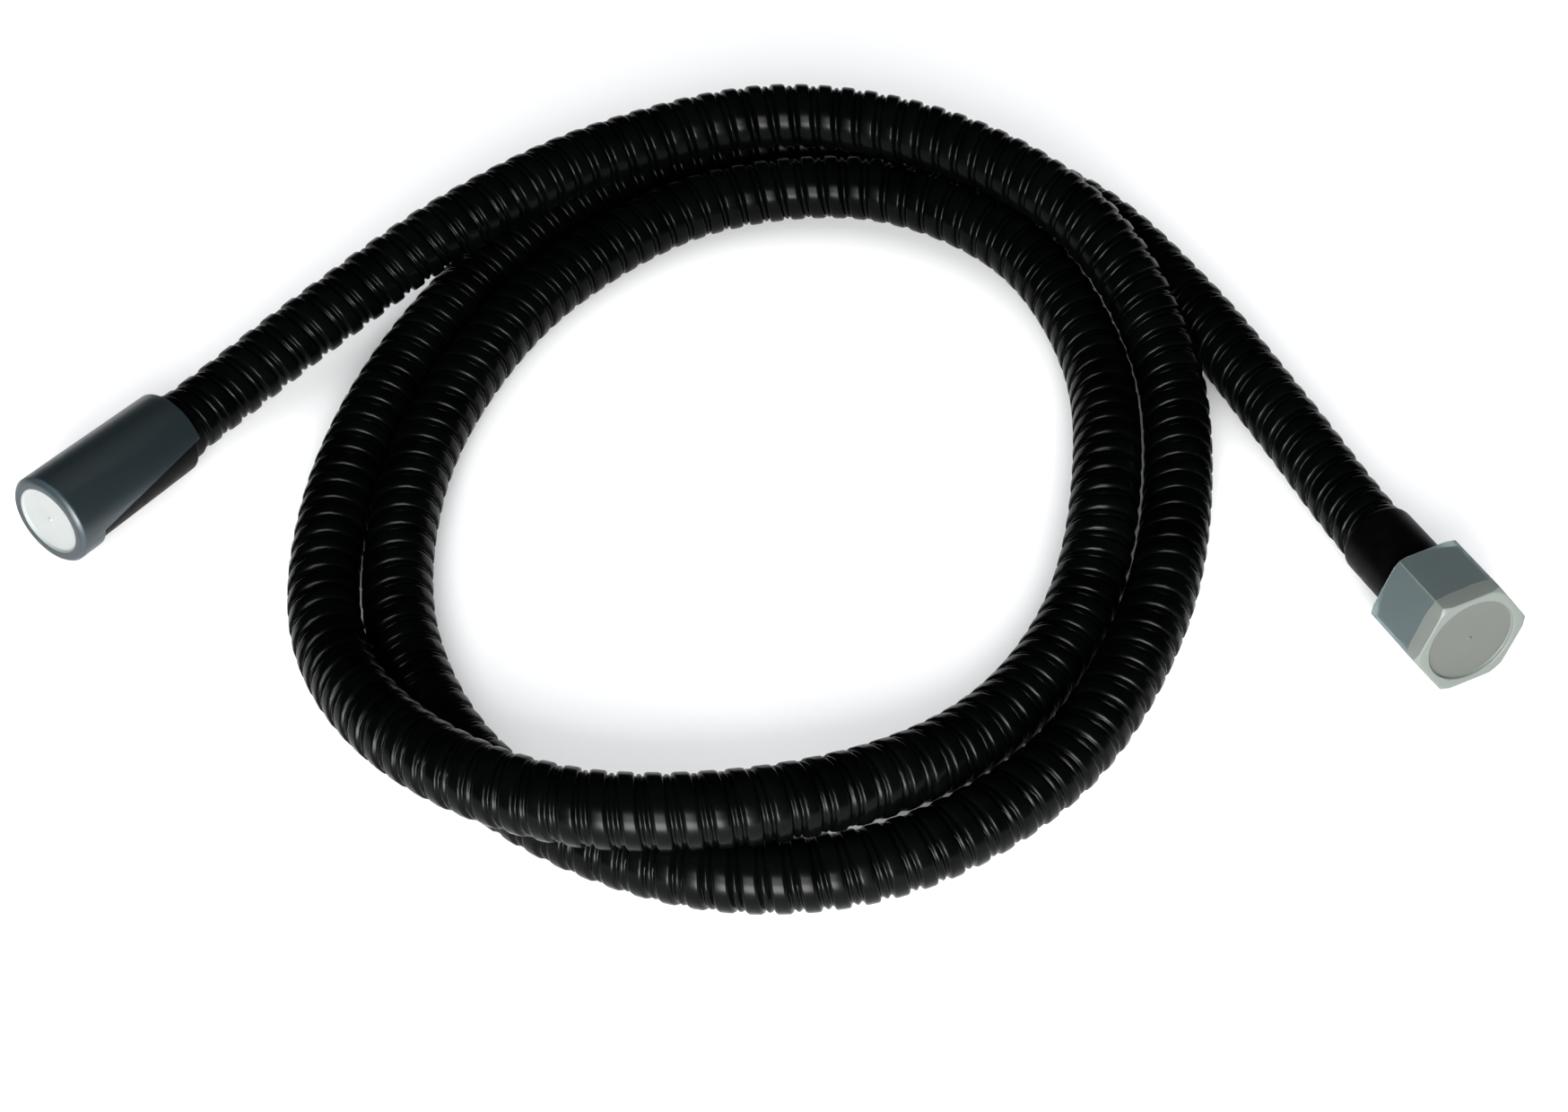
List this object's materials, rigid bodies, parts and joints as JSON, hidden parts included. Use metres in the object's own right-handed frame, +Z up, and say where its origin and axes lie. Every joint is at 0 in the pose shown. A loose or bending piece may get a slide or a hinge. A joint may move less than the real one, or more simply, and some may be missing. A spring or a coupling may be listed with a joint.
{
  "type": "flexible shower hose",
  "caption": "Black interlocked flexible water hose in loose turns, with a hexagon swivel nut and a conical swivel nut, each under a clear protective cap.",
  "frame": {"origin": "middle of the footprint, on the floor that the hose lies on", "axes": "+X to the right along the part's longest side, from the conical nut to the hexagon nut; +Y away from the open side where both nuts point; +Z up"},
  "size_m": [0.3552, 0.2665, 0.0367],
  "materials": {
    "black_strip": "semi-gloss black interlocked strip",
    "woven_sleeve": "woven polyester sleeve",
    "water_tube": "smooth light rubber",
    "black_metal": "satin black",
    "brass": "turned brass",
    "plain_steel": "plain",
    "white_plastic": "smooth white",
    "black_rubber": "matt black",
    "milky_plastic": "translucent soft plastic, satin",
    "grey_clear_plastic": "translucent soft plastic, satin"
  },
  "bodies": {
    "hose": {"hose_sheath": "black_strip", "braid": "woven_sleeve", "inner_tube": "water_tube", "hex_ferrule": "black_metal", "hex_tail": "brass", "hex_crimp_ring": "plain_steel", "hex_glide_ring": "white_plastic", "cone_ferrule": "black_metal", "cone_tail": "brass", "cone_crimp_ring": "plain_steel", "cone_glide_ring": "white_plastic"},
    "hex_swivel": {"hex_nut": "black_metal", "hex_washer": "black_rubber"},
    "hex_cover": {"hex_cap": "milky_plastic"},
    "cone_swivel": {"cone_nut": "black_metal", "cone_washer": "black_rubber"},
    "cone_cover": {"cone_cap": "grey_clear_plastic"}
  },
  "joints": [
    {"name": "hex_nut_turn", "type": "hinge", "parent": "hose", "child": "hex_swivel", "pos_m": [0.16027, -0.05384, 0.01462], "axis": [0.3722, -0.9181, 0.1365], "continuous": true},
    {"name": "hex_cap_off", "type": "slide", "parent": "hex_swivel", "child": "hex_cover", "axis": [0.3722, -0.9181, 0.1365], "range_m": [0, 0.045]},
    {"name": "cone_nut_turn", "type": "hinge", "parent": "hose", "child": "cone_swivel", "pos_m": [-0.15999, -0.01282, 0.01363], "axis": [-0.5696, -0.8173, 0.0867], "continuous": true},
    {"name": "cone_cap_off", "type": "slide", "parent": "cone_swivel", "child": "cone_cover", "axis": [-0.5696, -0.8173, 0.0867], "range_m": [0, 0.06]}
  ]
}
